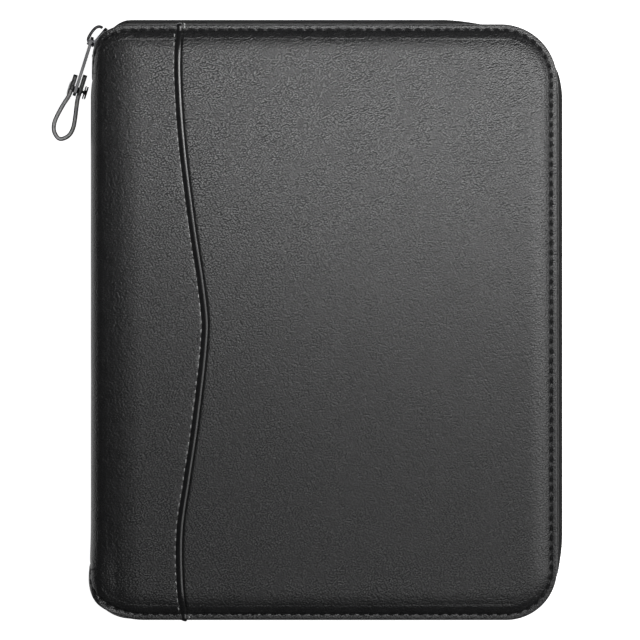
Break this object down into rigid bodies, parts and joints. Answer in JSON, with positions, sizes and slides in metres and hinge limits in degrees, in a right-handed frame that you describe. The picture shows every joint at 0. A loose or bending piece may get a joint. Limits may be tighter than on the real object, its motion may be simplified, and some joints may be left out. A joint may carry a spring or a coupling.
{
  "type": "binder planner",
  "caption": "Zip-around padded ring binder planner in black grained leather, with a wave seam on the front, a riveted zip pull, and rings, pages and pockets inside.",
  "frame": {"origin": "centre of the back cover's outer face, on which the closed planner lies", "axes": "+X from the spine to the fore-edge, +Y up the page, +Z out of the front cover"},
  "size_m": [0.2048, 0.2424, 0.0525],
  "materials": {
    "black_leather": "fine-grained black simulated leather, soft sheen",
    "lining_cloth": "matt black woven lining",
    "grey_board": "grey binder board",
    "pad_foam": "soft padding",
    "zip_tape": "black woven tape",
    "zip_coil": "black nylon coil",
    "dark_metal": "dark plated die casting",
    "nickel": "nickel-plated steel",
    "paper": "uncoated ivory paper",
    "elastic": "black woven elastic"
  },
  "bodies": {
    "back_cover": {"back_skin": "black_leather", "back_foam_pad": "pad_foam", "back_board": "grey_board", "back_lining": "lining_cloth", "back_edge_binding": "black_leather", "back_pocket": "lining_cloth", "back_zip_tape": "zip_tape", "back_zip_coil": "zip_coil", "zip_bottom_stop": "dark_metal"},
    "spine": {"spine_skin": "black_leather", "spine_board": "grey_board", "spine_lining": "lining_cloth", "front_hinge_strip": "black_leather", "back_hinge_strip": "black_leather", "ring_casing": "nickel", "casing_rivet_top": "nickel", "casing_rivet_bottom": "nickel", "back_gusset_tail": "zip_tape", "back_coil_end": "zip_coil", "zip_top_stop": "dark_metal"},
    "front_cover": {"front_skin": "black_leather", "spine_side_skin": "black_leather", "wave_binding": "black_leather", "front_foam_pad": "pad_foam", "front_board": "grey_board", "front_lining": "lining_cloth", "front_edge_binding": "black_leather", "front_pocket": "lining_cloth", "card_pocket_1": "black_leather", "card_pocket_2": "black_leather", "card_pocket_3": "black_leather", "pen_loop": "elastic", "front_zip_tape": "zip_tape", "front_zip_coil": "zip_coil", "front_gusset_tail": "zip_tape"},
    "zip_slider": {"zip_slider": "dark_metal"},
    "pull_tab": {"pull_tab": "nickel"},
    "pull_strap": {"pull_strap": "black_leather", "rivet_post": "nickel", "rivet_cap": "nickel"},
    "front_rings": {"front_hinge_plate": "nickel", "front_ring_1": "nickel", "front_ring_2": "nickel", "front_ring_3": "nickel", "front_ring_4": "nickel", "front_ring_5": "nickel", "front_ring_6": "nickel"},
    "back_rings": {"back_hinge_plate": "nickel", "back_ring_1": "nickel", "back_ring_2": "nickel", "back_ring_3": "nickel", "back_ring_4": "nickel", "back_ring_5": "nickel", "back_ring_6": "nickel"},
    "top_trigger": {"top_trigger": "nickel"},
    "bottom_trigger": {"bottom_trigger": "nickel"},
    "lower_pages": {"lower_pages": "paper"},
    "upper_pages": {"upper_pages": "paper"}
  },
  "joints": [
    {"name": "spine_fold", "type": "hinge", "parent": "back_cover", "child": "spine", "pos_m": [-0.086, 0, 0.008], "axis": [0, -1, 0], "range_deg": [0, 90], "deforming": ["back_hinge_strip", "back_gusset_tail", "back_coil_end"]},
    {"name": "front_cover_open", "type": "hinge", "parent": "spine", "child": "front_cover", "pos_m": [-0.086, 0, 0.044], "axis": [0, -1, 0], "range_deg": [0, 90], "deforming": ["front_hinge_strip", "front_gusset_tail"]},
    {"name": "zip_run", "type": "hinge", "parent": "spine", "child": "zip_slider", "pos_m": [-0.078, 0.104, 0.026], "axis": [0, 0, 1], "range_deg": [-45, 0]},
    {"name": "pull_tab_swing", "type": "hinge", "parent": "zip_slider", "child": "pull_tab", "pos_m": [-0.09379, 0.1149, 0.026], "axis": [0, 0, -1], "range_deg": [0, 160]},
    {"name": "pull_strap_swing", "type": "hinge", "parent": "pull_tab", "child": "pull_strap", "pos_m": [-0.1004, 0.09392, 0.026], "axis": [0.9537, -0.3007, 0], "range_deg": [-60, 60]},
    {"name": "front_rings_open", "type": "hinge", "parent": "spine", "child": "front_rings", "pos_m": [-0.0876, 0, 0.0355], "axis": [0, -1, 0], "range_deg": [0, 8]},
    {"name": "back_rings_open", "type": "hinge", "parent": "spine", "child": "back_rings", "pos_m": [-0.0876, 0, 0.0165], "axis": [0, 1, 0], "range_deg": [0, 8]},
    {"name": "top_trigger_press", "type": "hinge", "parent": "spine", "child": "top_trigger", "pos_m": [-0.087, 0.082, 0.026], "axis": [0, 0, 1], "range_deg": [0, 20]},
    {"name": "bottom_trigger_press", "type": "hinge", "parent": "spine", "child": "bottom_trigger", "pos_m": [-0.087, -0.082, 0.026], "axis": [0, 0, -1], "range_deg": [0, 20]},
    {"name": "lower_pages_level", "type": "hinge", "parent": "spine", "child": "lower_pages", "pos_m": [-0.0685, 0, 0.026], "axis": [0, -1, 0], "range_deg": [-90, 0]},
    {"name": "upper_pages_turn", "type": "hinge", "parent": "spine", "child": "upper_pages", "pos_m": [-0.0685, 0, 0.026], "axis": [0, -1, 0], "range_deg": [0, 90]}
  ],
  "couplings": [
    {"joint": "back_rings_open", "follows": "front_rings_open", "ratio": 1},
    {"joint": "top_trigger_press", "follows": "front_rings_open", "ratio": 2.5},
    {"joint": "bottom_trigger_press", "follows": "front_rings_open", "ratio": 2.5},
    {"joint": "lower_pages_level", "follows": "spine_fold", "ratio": -1},
    {"joint": "upper_pages_turn", "follows": "front_cover_open", "ratio": 1}
  ]
}
